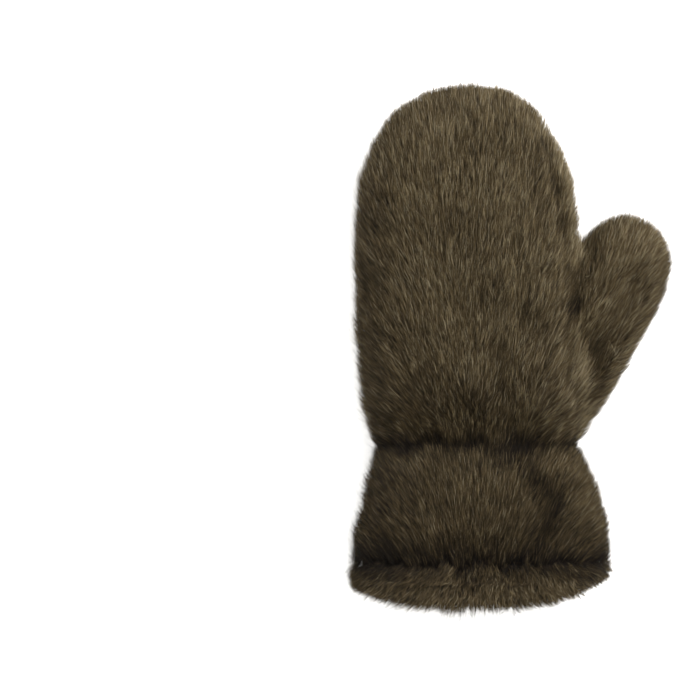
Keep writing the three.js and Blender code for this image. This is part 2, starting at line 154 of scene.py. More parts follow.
def new_material(name: str) -> tuple[bpy.types.Material, bpy.types.NodeTree]:
    """Makes an empty node material.

    Args:
        name: what the material is in the real mitten.

    Returns:
        The material and its node tree.
    """
    material = bpy.data.materials.new(name)
    material.use_nodes = True
    material.node_tree.nodes.clear()
    return material, material.node_tree


@dataclass(frozen=True)
class DyedFur:
    """Long dyed fur: dark at the root, golden brown to a greyish beige at the tip.

    A strand's map runs from dark to light hair across and from root to tip upward, so each
    strand has one shade of hair and grows paler along its length. Its dark roots are partly the
    fur's own colour and partly painted shade between the hairs.
    """

    name: str
    hair: tuple[tuple[float, str], ...]  # from dark to light hair, at the tip
    paling_and_painted_shade: tuple[tuple[float, str], ...]  # what is left of that colour, from root to tip; dark roots partly own colour, partly painted shade
    root_roughness: float = 0.85
    tip_roughness: float = 0.55
    specular: float = 0.08  # hairs shade one another, so little of their gloss is left
    ior: float = 1.55  # keratin

    def material(self) -> bpy.types.Material:
        """Builds the fur's material from the strands' own map.

        Returns:
            The material.
        """
        material, tree = new_material(self.name)
        place = node(tree, "ShaderNodeUVMap", {"uv_map": COAT_MAP})
        split = node(tree, "ShaderNodeSeparateXYZ", None, {"Vector": place.outputs["UV"]})
        tip = node(tree, "ShaderNodeValToRGB", None, {"Fac": split.outputs["X"]})
        paling_and_painted_shade = node(tree, "ShaderNodeValToRGB", None, {"Fac": split.outputs["Y"]})
        paint_ramp(tip.color_ramp, self.hair)
        paint_ramp(paling_and_painted_shade.color_ramp, self.paling_and_painted_shade)
        hair = node(tree, "ShaderNodeMix", {"data_type": "RGBA", "blend_type": "MULTIPLY"})
        hair.inputs[MIX_FACTOR].default_value = 1.0
        tree.links.new(tip.outputs["Color"], hair.inputs[MIX_FIRST])
        tree.links.new(paling_and_painted_shade.outputs["Color"], hair.inputs[MIX_SECOND])
        rough = node(tree, "ShaderNodeMapRange", None, {
            "Value": split.outputs["Y"], "To Min": self.root_roughness,
            "To Max": self.tip_roughness})
        shader = node(tree, "ShaderNodeBsdfPrincipled", None, {
            "Base Color": hair.outputs[MIX_RESULT], "Roughness": rough.outputs["Result"],
            "IOR": self.ior, "Specular IOR Level": self.specular})
        node(tree, "ShaderNodeOutputMaterial", None, {"Surface": shader.outputs["BSDF"]})
        return material


@dataclass(frozen=True)
class SuededHide:
    """The flesh side of a tanned hide, sueded: matt, with a fine napped grain."""

    name: str
    shade: str
    body: str
    grain_mm: float = 1.2  # a real suede's nap is about 0.3 mm, drawn coarser so that it shows
    mottle_mm: float = 14.0
    mottle_detail: float = 4.0
    grain_detail: float = 3.0
    mottle_span: tuple[float, float] = (0.35, 0.65)  # of the noise, from shade to body
    roughness: float = 0.92
    specular: float = 0.2  # a napped face scatters what little it reflects
    relief_mm: float = 0.25
    relief: float = 0.6

    def material(self) -> bpy.types.Material:
        """Builds the hide's material from noise at its grain's size.

        Returns:
            The material.
        """
        material, tree = new_material(self.name)
        place = node(tree, "ShaderNodeTexCoord")
        mottle = node(tree, "ShaderNodeTexNoise", None, {
            "Vector": place.outputs["Object"], "Scale": 1 / (self.mottle_mm * MM),
            "Detail": self.mottle_detail})
        grain = node(tree, "ShaderNodeTexNoise", None, {
            "Vector": place.outputs["Object"], "Scale": 1 / (self.grain_mm * MM),
            "Detail": self.grain_detail})
        colour = node(tree, "ShaderNodeValToRGB", None, {"Fac": mottle.outputs["Fac"]})
        paint_ramp(colour.color_ramp, list(zip(self.mottle_span, (self.shade, self.body))))
        relief = node(tree, "ShaderNodeBump", None, {
            "Height": grain.outputs["Fac"], "Strength": self.relief,
            "Distance": self.relief_mm * MM})
        rough = node(tree, "ShaderNodeMapRange", None, {
            "Value": grain.outputs["Fac"], "To Min": self.roughness, "To Max": 1.0})
        shader = node(tree, "ShaderNodeBsdfPrincipled", None, {
            "Base Color": colour.outputs["Color"], "Roughness": rough.outputs["Result"],
            "Normal": relief.outputs["Normal"], "Specular IOR Level": self.specular})
        node(tree, "ShaderNodeOutputMaterial", None, {"Surface": shader.outputs["BSDF"]})
        return material


@dataclass(frozen=True)
class UncoatedCard:
    """White card, uncoated: an even pale ground with no gloss."""

    name: str = "white_card_uncoated"
    body: str = "#f4f3f1"
    fibre: str = "#efeeec"
    fibre_mm: float = 3.0  # real fibres are finer than the render shows, so drawn coarser
    fibre_span: tuple[float, float] = (0.3, 0.7)  # of the noise, from fibre to body
    roughness: float = 0.95
    specular: float = 0.1

    def material(self) -> bpy.types.Material:
        """Builds the card's material.

        Returns:
            The material.
        """
        material, tree = new_material(self.name)
        place = node(tree, "ShaderNodeTexCoord")
        cloud = node(tree, "ShaderNodeTexNoise", None, {
            "Vector": place.outputs["Object"], "Scale": 1 / (self.fibre_mm * MM)})
        colour = node(tree, "ShaderNodeValToRGB", None, {"Fac": cloud.outputs["Fac"]})
        paint_ramp(colour.color_ramp, list(zip(self.fibre_span, (self.fibre, self.body))))
        shader = node(tree, "ShaderNodeBsdfPrincipled", None, {
            "Base Color": colour.outputs["Color"], "Roughness": self.roughness,
            "Specular IOR Level": self.specular})
        node(tree, "ShaderNodeOutputMaterial", None, {"Surface": shader.outputs["BSDF"]})
        return material


class Heading(Enum):
    """The way that a panel's fur is brushed, in degrees from the line of the fingers."""

    TO_FINGERTIPS = 0.0
    ALONG_THUMB = 24.0
    OVER_THE_MOUTH = 180.0


@dataclass(frozen=True)
class Lay:
    """How the fur of a panel lies: along its heading, leaning outward toward both edges.

    The panel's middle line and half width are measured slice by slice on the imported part.
    """

    heading: Heading
    fan: tuple[tuple[float, float, float], ...]  # share of the way along, degrees at both edges
    along: np.ndarray
    middle: np.ndarray
    half: np.ndarray

    @classmethod
    def measured(cls, heading: Heading, fan: tuple[tuple[float, float, float], ...],
                 points: np.ndarray, slices: int = 24) -> "Lay":
        """Measures a panel's middle line.

        Args:
            heading: the way that the fur is brushed.
            fan: share of the way along, and the fur's lean at the edge away from the thumb
                and at the edge on its side.
            points: the vertices of the nodes that the fur covers.
            slices: how many slices are measured.

        Returns:
            The lay of the fur.
        """
        onward, across = cls.axes(heading)
        forward, sideways = points @ onward, points @ across
        edges = np.linspace(forward.min(), forward.max(), slices + 1)
        which = np.clip(np.digitize(forward, edges) - 1, 0, slices - 1)
        spans = [(sideways[which == i].min(), sideways[which == i].max())
                 for i in range(slices) if (which == i).any()]
        places = [(edges[i] + edges[i + 1]) / 2 for i in range(slices) if (which == i).any()]
        low, high = np.array(spans).T
        return cls(heading, fan, np.array(places), (low + high) / 2, (high - low) / 2)

    @staticmethod
    def axes(heading: Heading) -> tuple[np.ndarray, np.ndarray]:
        """Gives the ways along a heading and across it.

        Args:
            heading: the way that the fur is brushed.

        Returns:
            The unit vector along it, and the one across it toward the thumb's side.
        """
        turn = math.radians(heading.value)
        onward = np.array((math.sin(turn), math.cos(turn), 0.0))
        side = 1.0 if heading is not Heading.OVER_THE_MOUTH else -1.0
        return onward, side * np.array((math.cos(turn), -math.sin(turn), 0.0))

    def directions(self, points: np.ndarray) -> np.ndarray:
        """Gives the way that the fur is brushed at some points.

        Args:
            points: one row for each point.

        Returns:
            One level unit vector for each point.
        """
        onward, across = self.axes(self.heading)
        forward, sideways = points @ onward, points @ across
        middle = np.interp(forward, self.along, self.middle)
        half = np.interp(forward, self.along, self.half)
        share = np.clip((sideways - middle) / half, -1.0, 1.0)
        travel = (forward - self.along[0]) / (self.along[-1] - self.along[0])
        places, away, thumbward = zip(*self.fan)
        lean = np.where(share < 0, np.interp(travel, places, away),
                        np.interp(travel, places, thumbward))
        turn = np.radians(lean) * share
        return np.cos(turn)[:, None] * onward + np.sin(turn)[:, None] * across


@dataclass(frozen=True)
class Ripple:
    """A smooth field of hills and hollows, made of waves in chosen directions."""

    length_mm: float
    waves: int = 9
    spread: tuple[float, float] = (0.7, 1.6)  # of the waves' lengths, as shares of length_mm
    crest: float = 1.6  # what most of the summed waves stay under

    def at(self, points: np.ndarray, rng: np.random.Generator) -> np.ndarray:
        """Gives the field's height at some points.

        Args:
            points: one row for each point.
            rng: the source of chance.

        Returns:
            The heights, about -1 to 1.
        """
        ways = unit(rng.normal(size=(self.waves, 3)))
        lengths = self.length_mm * MM * rng.uniform(*self.spread, self.waves)
        phases = rng.uniform(0, 2 * math.pi, self.waves)
        turns = points @ (ways * (2 * math.pi / lengths)[:, None]).T + phases
        return np.sin(turns).sum(axis=1) / math.sqrt(self.waves / 2) / self.crest


@dataclass(frozen=True)
class Unevenness:
    """How much a measure of the fur differs from tuft to tuft."""

    ripple: Ripple
    drift: float  # share that it drifts by from place to place
    chance: float  # share that it differs by from one tuft to the next
    least: float
    most: float

    def shares(self, points: np.ndarray, rng: np.random.Generator) -> np.ndarray:
        """Gives each tuft's share of the measure.

        Args:
            points: where the tufts are rooted.
            rng: the source of chance.

        Returns:
            The shares, about one.
        """
        drift = self.drift * self.ripple.at(points, rng)
        return np.clip(1 + drift + self.chance * rng.normal(size=len(points)),
                       self.least, self.most)


@dataclass(frozen=True)
class Parting:
    """A sewn seam in the pelt, where the fur parts or sinks on the upper side, with painted shade
    along it.
    """

    first: str
    second: str
    depth_mm: float
    width_mm: float
    shadow: float  # painted shade: how far the hair there goes toward dark, of one
    evened_mm: float = 0.0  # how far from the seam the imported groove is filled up
    mingled_mm: float = 0.0  # how far the two furs grow in among each other


@dataclass(frozen=True)
class Crease:
    """A soft fold pressed into the upper side with painted shade, or a patch of painted shade
    alone, along some points.
    """

    line_mm: tuple[tuple[float, float], ...]
    depth_mm: float
    width_mm: float
    shadow: float

    def nearness(self, points: np.ndarray) -> np.ndarray:
        """Gives how near points are to the fold, one on its line and nought far off.

        Args:
            points: one row for each point.

        Returns:
            The nearness of each point.
        """
        spots = points[:, :2] / MM
        gap = np.full(len(spots), math.inf)
        stops = [np.array(p) for p in self.line_mm]
        if len(stops) == 1:
            stops = stops * 2
        for a, b in zip(stops, stops[1:]):
            run = b - a
            share = (spots - a) @ run / max(float(run @ run), NEXT_TO_NOTHING)
            share = np.clip(share, 0, 1)[:, None]
            gap = np.minimum(gap, np.linalg.norm(spots - a - share * run, axis=1))
        return np.exp(-((gap / self.width_mm) ** 2))


def read_mesh(mesh: bpy.types.Mesh) -> tuple[np.ndarray, np.ndarray, np.ndarray]:
    """Reads a mesh into arrays.

    Args:
        mesh: the mesh.

    Returns:
        Its vertices, their normals and its triangles.
    """
    count = len(mesh.vertices)
    points, normals = np.zeros(count * 3), np.zeros(count * 3)
    mesh.vertices.foreach_get("co", points)
    mesh.vertex_normals.foreach_get("vector", normals)
    mesh.calc_loop_triangles()
    triangles = np.zeros(len(mesh.loop_triangles) * 3, int)
    mesh.loop_triangles.foreach_get("vertices", triangles)
    return points.reshape(-1, 3), normals.reshape(-1, 3), triangles.reshape(-1, 3)


def evened(name: str, mesh: bpy.types.Mesh, voxel_mm: float, smoothing: int,
           swell_mm: float = 0.0) -> bpy.types.Object:
    """Makes a piece whose faces are even and small, with what stands off it smoothed away.

    Args:
        name: the piece's name.
        mesh: the form to follow.
        voxel_mm: the size of its faces.
        smoothing: how many times it is smoothed.
        swell_mm: how far its faces move out first, which closes fine gaps.

    Returns:
        The new piece.
    """
    piece = stand(name, mesh)
    if swell_mm:
        swell = piece.modifiers.new("swell", "DISPLACE")
        swell.mid_level = 0.0
        swell.strength = swell_mm * MM
    even = piece.modifiers.new("even", "REMESH")
    even.mode = "VOXEL"
    even.voxel_size = voxel_mm * MM
    piece.modifiers.new("smooth", "SMOOTH").iterations = smoothing
    graph = bpy.context.evaluated_depsgraph_get()
    made = bpy.data.meshes.new_from_object(piece.evaluated_get(graph))
    piece.modifiers.clear()
    piece.data = made
    return piece


@dataclass
class Pelt:
    """The whole mitten's skin under its fur, with its seams closed. The fur is rooted in it.

    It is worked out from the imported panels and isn't shown itself. Its arrays hold a row for
    each vertex, and owner holds a number for each triangle: the panel that it belongs to.
    """

    panels: tuple[str, ...]
    pile_depths_mm: tuple[float, ...]  # of each panel
    partings: tuple[Parting, ...]
    creases: tuple[Crease, ...]
    voxel_mm: float = 2.0
    smoothing: int = 18
    most_pressed_mm: float = 9.0
    thinnest_mm: float = 2.5  # a face nearer than this is the skin itself, not its other side
    least_wall_mm: float = 1.5  # what the deepest fold leaves between the fur and the hollow
    shared_wall: float = 0.4  # what each side may give up of a wall with fur on both sides
    least_cover: float = 0.4
    wander_mm: float = 0.9  # how far the fur's edge strays from a seam, one way or the other
    points: np.ndarray = blank(0, 3)
    normals: np.ndarray = blank(0, 3)
    triangles: np.ndarray = blank(0, 3, kind=int)
    outside: np.ndarray = blank(0)  # one on the fur side, nought inside the hollow
    depth: np.ndarray = blank(0)  # of the seams and folds, in millimetres
    # the painted shade of the seams and folds, of one, for the fur rooted there
    shadow: np.ndarray = blank(0)
    cover: np.ndarray = blank(0)  # share of the pile's depth that there is room for
    shift: np.ndarray = blank(0, 3)  # what pressing did to each vertex
    packed: BVHTree | None = None  # the skin's faces before it is pressed, and its normals there
    packed_normals: np.ndarray = blank(0, 3)
    owner: np.ndarray = blank(0, kind=int)

    JOINED_SMOOTHING = 2
    JOINED_SWELL_MM = 0.4  # closes the gaps that the sewn panels keep
    OFF_SKIN_MM = 0.5  # where a look starts, clear of its own face
    OPEN_FROM, OPEN_OVER = 0.3, 0.25  # share of clear ways where fur starts, and grows full
    UPPER_SIDE = 0.5  # a face that looks up by this much is pressed in full
    WANDER, WANDER_SEED = Ripple(13), 5
    SMUDGE, SMUDGE_SEED, SMUDGE_SHARE = Ripple(16), 7, 0.6  # a parting's shadow is patchy
    MINGLE, MINGLE_SEED = Ripple(9), 9
    MINGLE_CHANCE, MINGLE_DRIFT = 0.6, 0.5  # shares of how far two furs mingle
    LIGHTLY, WELL = 3, 4  # times that a value is averaged over its neighbours

    def build(self, nodes: dict[str, bpy.types.Object]) -> None:
        """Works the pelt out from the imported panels.

        Args:
            nodes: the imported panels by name.
        """
        points, faces, start = [], [], 0
        for name in self.panels:
            mesh = nodes[name].data
            points += [tuple(v.co) for v in mesh.vertices]
            faces += [[i + start for i in p.vertices] for p in mesh.polygons]
            start += len(mesh.vertices)
        joined = bpy.data.meshes.new("pelt")
        joined.from_pydata(points, [], faces)
        whole = evened("pelt", joined, self.voxel_mm, self.JOINED_SMOOTHING,
                       self.JOINED_SWELL_MM)
        self.points, self.normals, self.triangles = read_mesh(whole.data)
        bpy.data.objects.remove(whole)
        self.relax(self.smoothing)
        gaps = self.find_gaps(nodes)
        self.owner = np.argmin(gaps, axis=0)
        self.find_normals()
        self.fill_seams()
        self.find_normals()
        self.find_outside()
        self.packed, self.packed_normals, before = self.tree(), self.normals, self.points
        self.press()
        self.shift = self.points - before
        self.find_normals()
        self.owner = np.argmin(self.mingled(gaps), axis=0)

    def find_gaps(self, nodes: dict[str, bpy.types.Object]) -> np.ndarray:
        """Measures how far the pelt is from each packed panel, give or take its wander.

        Args:
            nodes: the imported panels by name.

        Returns:
            A row for each panel, with the gap to each triangle in metres.
        """
        centres = self.points[self.triangles].mean(axis=1)
        rng = np.random.default_rng(self.WANDER_SEED)
        gaps = []
        for name in self.panels:
            points, _, triangles = read_mesh(nodes[name].data)
            tree = BVHTree.FromPolygons(points.tolist(), triangles.tolist())
            wander = self.wander_mm * MM * self.WANDER.at(centres, rng)
            gaps.append(wander + [tree.find_nearest(c)[3] for c in centres.tolist()])
        return np.array(gaps)

    def mingled(self, gaps: np.ndarray) -> np.ndarray:
        """Shakes the gaps of each parting's second panel, so that the two furs mingle there.

        Args:
            gaps: a row for each panel, with the gap to each triangle.

        Returns:
            The shaken gaps.
        """
        rng = np.random.default_rng(self.MINGLE_SEED)
        centres = self.points[self.triangles].mean(axis=1)
        shaken = gaps.copy()
        for parting in self.partings:
            shake = (self.MINGLE_CHANCE * rng.uniform(-1, 1, len(centres))
                     + self.MINGLE_DRIFT * self.MINGLE.at(centres, rng))
            shaken[self.panels.index(parting.second)] += shake * parting.mingled_mm * MM
        return shaken

    def find_outside(self, reach_mm: float = 120.0) -> None:
        """Marks how open each vertex is: one on the fur side and nought inside the hollow.

        Args:
            reach_mm: how far a way has to be clear to lead outside.
        """
        tree = self.tree()
        share = np.zeros(len(self.points))
        for i, (point, normal) in enumerate(zip(self.points, self.normals)):
            outward = Vector(normal)
            ways = self.cone(outward)
            start = Vector(point) + outward * (self.OFF_SKIN_MM * MM)
            free = sum(tree.ray_cast(start, way, reach_mm * MM)[0] is None for way, _ in ways)
            share[i] = free / len(ways)
        clear = self.softened(share, self.LIGHTLY) - self.OPEN_FROM
        self.outside = np.clip(clear / self.OPEN_OVER, 0.0, 1.0)

    @staticmethod
    def cone(middle: Vector, lean: float = 50.0, sides: int = 6) -> list[tuple[Vector, float]]:
        """Gives a cone of ways to look.

        Args:
            middle: the way in the middle.
            lean: how far the others lean off it, in degrees.
            sides: how many they are.

        Returns:
            Each way and the cosine of its lean.
        """
        right = middle.orthogonal().normalized()
        up = middle.cross(right)
        height, reach = math.cos(math.radians(lean)), math.sin(math.radians(lean))
        ways = [(middle, 1.0)]
        for turn in (2 * math.pi * k / sides for k in range(sides)):
            off = right * math.cos(turn) + up * math.sin(turn)
            ways.append((middle * height + off * reach, height))
        return ways

    def gathered(self, values: np.ndarray) -> np.ndarray:
        """Averages the values of the triangles round each vertex.

        Args:
            values: one number for each triangle.

        Returns:
            One number for each vertex.
        """
        total, count = np.zeros(len(self.points)), np.zeros(len(self.points))
        for k in range(3):
            total += np.bincount(self.triangles[:, k], values, len(total))
            count += np.bincount(self.triangles[:, k], minlength=len(total))
        return total / np.maximum(count, 1)

    def softened(self, values: np.ndarray, times: int) -> np.ndarray:
        """Averages a value over each vertex's neighbours, again and again.

        Args:
            values: one number or one row for each vertex.
            times: how many times.

        Returns:
            The averaged values.
        """
        for _ in range(times):
            means = values[self.triangles].mean(axis=1)
            if values.ndim == 1:
                values = self.gathered(means)
            else:
                values = np.stack([self.gathered(part) for part in means.T], axis=1)
        return values

    def relax(self, times: int) -> None:
        """Smooths the facets away, then gives back what that took off the rims and tips."""
        smooth = self.softened(self.points, times)
        self.points = smooth + self.softened(self.points - smooth, times)

    def seam_gap(self, parting: Parting) -> np.ndarray:
        """Measures how far each vertex is from a seam's line.

        Args:
            parting: the seam.

        Returns:
            The gaps, in millimetres.
        """
        pair = [self.panels.index(parting.first), self.panels.index(parting.second)]
        touched = np.zeros((len(self.points), 2), bool)
        for k, panel in enumerate(pair):
            touched[self.triangles[self.owner == panel].ravel(), k] = True
        seam = np.flatnonzero(touched.all(axis=1))
        tree = KDTree(max(len(seam), 1))
        for k, i in enumerate(seam):
            tree.insert(self.points[i], k)
        tree.balance()
        if not len(seam):
            return np.full(len(self.points), math.inf)
        return np.array([tree.find(p)[2] for p in self.points.tolist()]) / MM

    def fill_seams(self, times: int = 60) -> None:
        """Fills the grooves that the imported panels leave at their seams.

        Args:
            times: how many small steps the grooves are filled in.
        """
        share = np.zeros(len(self.points))
        for parting in self.partings:
            if parting.evened_mm:
                near = np.exp(-((self.seam_gap(parting) / parting.evened_mm) ** 2))
                share = np.maximum(share, near)
        for _ in range(times):
            onward = self.softened(self.points, 1) - self.points
            outward = (onward * self.normals).sum(axis=1)
            self.points = self.points + self.normals * (np.maximum(outward, 0.0) * share)[:, None]

    def find_normals(self) -> None:
        """Works out the way that each vertex faces."""
        corners = self.points[self.triangles]
        faces = np.cross(corners[:, 1] - corners[:, 0], corners[:, 2] - corners[:, 0])
        total = np.zeros_like(self.points)
        for k in range(3):
            np.add.at(total, self.triangles[:, k], faces)
        self.normals = unit(total)

    def room(self) -> np.ndarray:
        """Works out how far each vertex of the fur side may be pressed in.

        Returns:
            The depths, in millimetres.
        """
        tree = self.tree()
        furred = self.outside[self.triangles].mean(axis=1)
        room = np.full(len(self.points), self.most_pressed_mm)
        for i in np.flatnonzero(self.outside > 0):
            inward = -Vector(self.normals[i])
            start = Vector(self.points[i]) + inward * (self.OFF_SKIN_MM * MM)
            for way, height in self.cone(inward):
                _, _, face, gap = tree.ray_cast(start, way)
                if face is None or gap < self.thinnest_mm * MM:
                    continue
                reach = gap / MM + self.OFF_SKIN_MM
                alone = reach * height - self.least_wall_mm
                shared = reach / height * self.shared_wall
                room[i] = min(room[i], alone + (shared - alone) * furred[face])
        return np.maximum(room, 0.0)

    def press(self) -> None:
        """Takes the depth of the pile off the fur side, presses in the seams and folds, and
        paints shade along them.
        """
        self.depth, self.shadow = np.zeros((2, len(self.points)))
        above = np.clip(self.normals[:, 2] / self.UPPER_SIDE, 0.0, 1.0)
        patches = self.SMUDGE.at(self.points, np.random.default_rng(self.SMUDGE_SEED))
        smudge = 1 + self.SMUDGE_SHARE * patches
        for parting in self.partings:
            near = np.exp(-((self.seam_gap(parting) / parting.width_mm) ** 2)) * above
            self.depth += parting.depth_mm * near
            self.shadow += parting.shadow * near * smudge
        for crease in self.creases:
            near = crease.nearness(self.points) * above
            self.depth += crease.depth_mm * near
            self.shadow += crease.shadow * near
        pile = self.softened(self.gathered(np.array(self.pile_depths_mm)[self.owner]), self.WELL)
        inward = np.minimum(pile + self.depth, self.room()) * self.outside
        inward = self.softened(inward, self.LIGHTLY)
        self.cover = np.clip(inward / pile, self.least_cover, 1.0)
        self.points = self.points - self.normals * (inward * MM)[:, None]
        self.relax(self.LIGHTLY)

    def tree(self) -> BVHTree:
        """Gives the pelt's faces as a search tree."""
        return BVHTree.FromPolygons(self.points.tolist(), self.triangles.tolist())


@dataclass
class Hide:
    """The skin of one sewn panel, as it shows inside the mouth and between the hairs."""

    panel: str
    voxel_mm: float = 2.4
    smoothing: int = 3
    swell_mm: float = 1.4  # neighbouring hides run into each other, so no seam lets light in
    below_pelt_mm: float = 2.2
    piece: bpy.types.Object | None = None

    def build(self, source: bpy.types.Object, pelt: Pelt, finish: bpy.types.Material) -> None:
        """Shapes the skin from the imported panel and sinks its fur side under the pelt.

        Args:
            source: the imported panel's object, which stays as it is.
            pelt: the skin that the fur is rooted in.
            finish: the hide's material.
        """
        self.piece = evened(f"{self.panel}_hide", source.data.copy(), self.voxel_mm,
                            self.smoothing, self.swell_mm)
        points, _, _ = read_mesh(self.piece.data)
        under = pelt.triangles[[pelt.packed.find_nearest(p)[2] for p in points.tolist()]]
        facing = unit(pelt.packed_normals[under].mean(axis=1))
        below = pelt.outside[under].mean(axis=1) * self.below_pelt_mm * MM
        points = points + pelt.shift[under].mean(axis=1) - facing * below[:, None]
        mesh = self.piece.data
        mesh.vertices.foreach_set("co", points.astype(np.float32).ravel())
        mesh.update()
        mesh.polygons.foreach_set("use_smooth", [True] * len(mesh.polygons))
        mesh.materials.clear()
        mesh.materials.append(finish)


@dataclass(frozen=True)
class Hair:
    """One kind of hair in the fur, and how it gathers in tufts."""

    name: str
    share: float  # of the coat's triangles
    bends: int
    length: float  # of the pile
    rise: float  # of the coat's rise
    width_mm: float  # a few real hairs wide, so that it shows
    in_tuft: int
    tuft_radius_mm: float
    gather: tuple[float, float]  # how far a tuft's strands draw together at its tip
    tone: float  # how much lighter it is than the rest: its own colour, and for flyaway hair also painted light


GUARD_HAIR = Hair("guard_hair", 0.5, 1, 1.0, 1.0, 0.16, 3, 0.5, (0.2, 0.85), 0.02)
UNDERFUR = Hair("underfur", 0.37, 0, 0.8, 0.85, 0.15, 7, 0.9, (0.0, 0.6), -0.02)
# Flyaway hair is paler partly by its own colour and partly by painted light, standing in for
# light shining through loose hair at the outline.
FLYAWAY = Hair("flyaway_hair", 0.13, 1, 1.15, 1.4, 0.09, 2, 0.6, (0.0, 0.3), 0.14)


@dataclass
class Roots:
    """Where tufts are rooted, the skin's normals there and the marks left by seams and folds."""

    places: np.ndarray
    ups: np.ndarray
    depth: np.ndarray
    shadow: np.ndarray
    cover: np.ndarray


@dataclass
class Coat:
    """The fur of one panel: guard hair over underfur, both in fine tufts of tapered strands."""

    panel: str
    lay: Lay
    triangle_budget: int
    tone: float = 0.0  # how much lighter its hair is than the rest: partly its own colour, partly painted light and shade
    pile_mm: float = 10.5
    rise_mm: float = 4.2
    flattened: float = 0.2  # share of the fur on the side that is lain on
    stray_degrees: float = 6.0
    swirl_degrees: float = 7.0
    eddy_degrees: float = 4.0
    follow: float = 0.35  # how far a hair bends back to the skin where the skin turns away
    trim_at_mm: float | None = None  # how far along the mitten the next panel's fur starts
    trim_reach_mm: tuple[float, float] = (1.0, 7.0)
    pieces: list[bpy.types.Object] = field(default_factory=list)

    STEPS = 4  # along a tuft
    SWIRL, EDDY = Ripple(34), Ripple(11)  # wide and narrow turns of the nap
    STATURE = Unevenness(Ripple(14), 0.1, 0.15, 0.55, 1.4)
    LIFT = Unevenness(Ripple(9), 0.18, 0.2, 0.3, 1.4)
    PATCH, STREAK = Ripple(30), Ripple(5)
    STREAK_DRAWN = (1.0, 0.35, 1.0)  # streaks of one shade are drawn out along the fingers
    # How much shade differs by patch, by streak, by tuft and by strand, of one.
    PATCH_SHADE, STREAK_SHADE, TUFT_SHADE, STRAND_SHADE = 0.06, 0.04, 0.13, 0.25
    MIDDLE_SHADE, DARKEST, LIGHTEST = 0.5, 0.01, 0.99
    UNDER_FROM, UNDER_OVER = 0.2, 0.4  # how far down a face looks where the fur is lain on
    ON_THE_RIM = 0.8  # share of its brushed way that a tuft keeps where it would leave the skin
    LOWER_A_MM, LOWEST = 0.12, 0.5  # how fur sinks with each mm of a fold's depth, and the least
    TRIMMED_RISE, TRIMMED_MM = 0.4, 4.0  # the least rise and length of trimmed fur
    BENDS_EARLY = 0.85  # a power that draws a strand's bends toward its root
    ENDS = (0.55, 1.05)  # how far along its tuft a strand ends
    CURL, TWIST_DEGREES = 0.03, 38.0  # share of the pile; how far a strand's flat side turns
    THICKNESS, TAPER = (0.65, 1.3), 0.85  # shares of the hair's width
    OFF_FLOOR_MM = 0.2

    def roots(self, pelt: Pelt, count: int, rng: np.random.Generator) -> Roots:
        """Chooses where tufts are rooted.

        Args:
            pelt: the skin that they grow from.
            count: how many tufts there are.
            rng: the source of chance.

        Returns:
            The roots.
        """
        own = pelt.triangles[pelt.owner == pelt.panels.index(self.panel)]
        corners = pelt.points[own]
        first, second = corners[:, 1] - corners[:, 0], corners[:, 2] - corners[:, 0]
        area = np.linalg.norm(np.cross(first, second), axis=1)
        open_share = pelt.outside[own].mean(axis=1)
        facing = pelt.normals[own].mean(axis=1)[:, 2]
        under = np.clip((-facing - self.UNDER_FROM) / self.UNDER_OVER, 0.0, 1.0)
        weight = area * open_share * (1 - under * (1 - self.flattened))
        ladder = np.cumsum(weight) / weight.sum()
        chosen = np.searchsorted(ladder, (np.arange(count) + rng.uniform(size=count)) / count)
        chosen = np.minimum(chosen, len(ladder) - 1)
        u, v = rng.uniform(size=(2, count))
        fold = u + v > 1
        u, v = np.where(fold, 1 - u, u), np.where(fold, 1 - v, v)
        mix = np.stack((1 - u - v, u, v), axis=1)
        picked = own[chosen]
        places = (pelt.points[picked] * mix[:, :, None]).sum(axis=1)
        ups = unit((pelt.normals[picked] * mix[:, :, None]).sum(axis=1))
        fields = (pelt.depth, pelt.shadow, pelt.cover)
        marks = [(values[picked] * mix).sum(axis=1) for values in fields]
        return Roots(places, ups, *marks)

    def guides(self, pelt: Pelt, tree: BVHTree, roots: Roots, length: np.ndarray,
               rise: np.ndarray, turn: np.ndarray) -> tuple[np.ndarray, np.ndarray]:
        """Walks each tuft along the skin from its root to its tip.

        Args:
            pelt: the skin.
            tree: the skin's faces.
            roots: where each tuft starts.
            length: each tuft's length.
            rise: how far each tip stands off the skin.
            turn: how far each tuft strays from the nap, in radians.

        Returns:
            The points of each tuft's line and the skin's normals beside them.
        """
        smooth = unit(pelt.normals[pelt.triangles].mean(axis=1))
        place, up = roots.places, roots.ups
        path, ups = [place], [up]
        step = (length / self.STEPS)[:, None]
        for k in range(1, self.STEPS + 1):
            brushed = self.lay.directions(place)
            standing = (brushed * up).sum(axis=1)[:, None]
            level = brushed - standing * up
            beside = np.cross(up, level)
            level = level * np.cos(turn)[:, None] + beside * np.sin(turn)[:, None]
            height = rise * (1 - (1 - k / self.STEPS) ** 2)
            climb = rise * ((1 - (k - 1) / self.STEPS) ** 2 - (1 - k / self.STEPS) ** 2)
            leaving = np.clip(standing, 0.0, 1.0) * self.ON_THE_RIM
            way = unit(level + up * (leaving + climb[:, None] / step))
            place = place + way * step
            found = [tree.find_nearest(p) for p in place.tolist()]
            nearest = np.array([f[0] for f in found])
            up = smooth[[f[2] for f in found]]
            off = ((place - nearest) * up).sum(axis=1)
            pull = np.where(off > height, self.follow, 1.0)
            place = place + up * ((height - off) * pull)[:, None]
            path.append(place)
            ups.append(up)
        return np.stack(path, axis=1), np.stack(ups, axis=1)

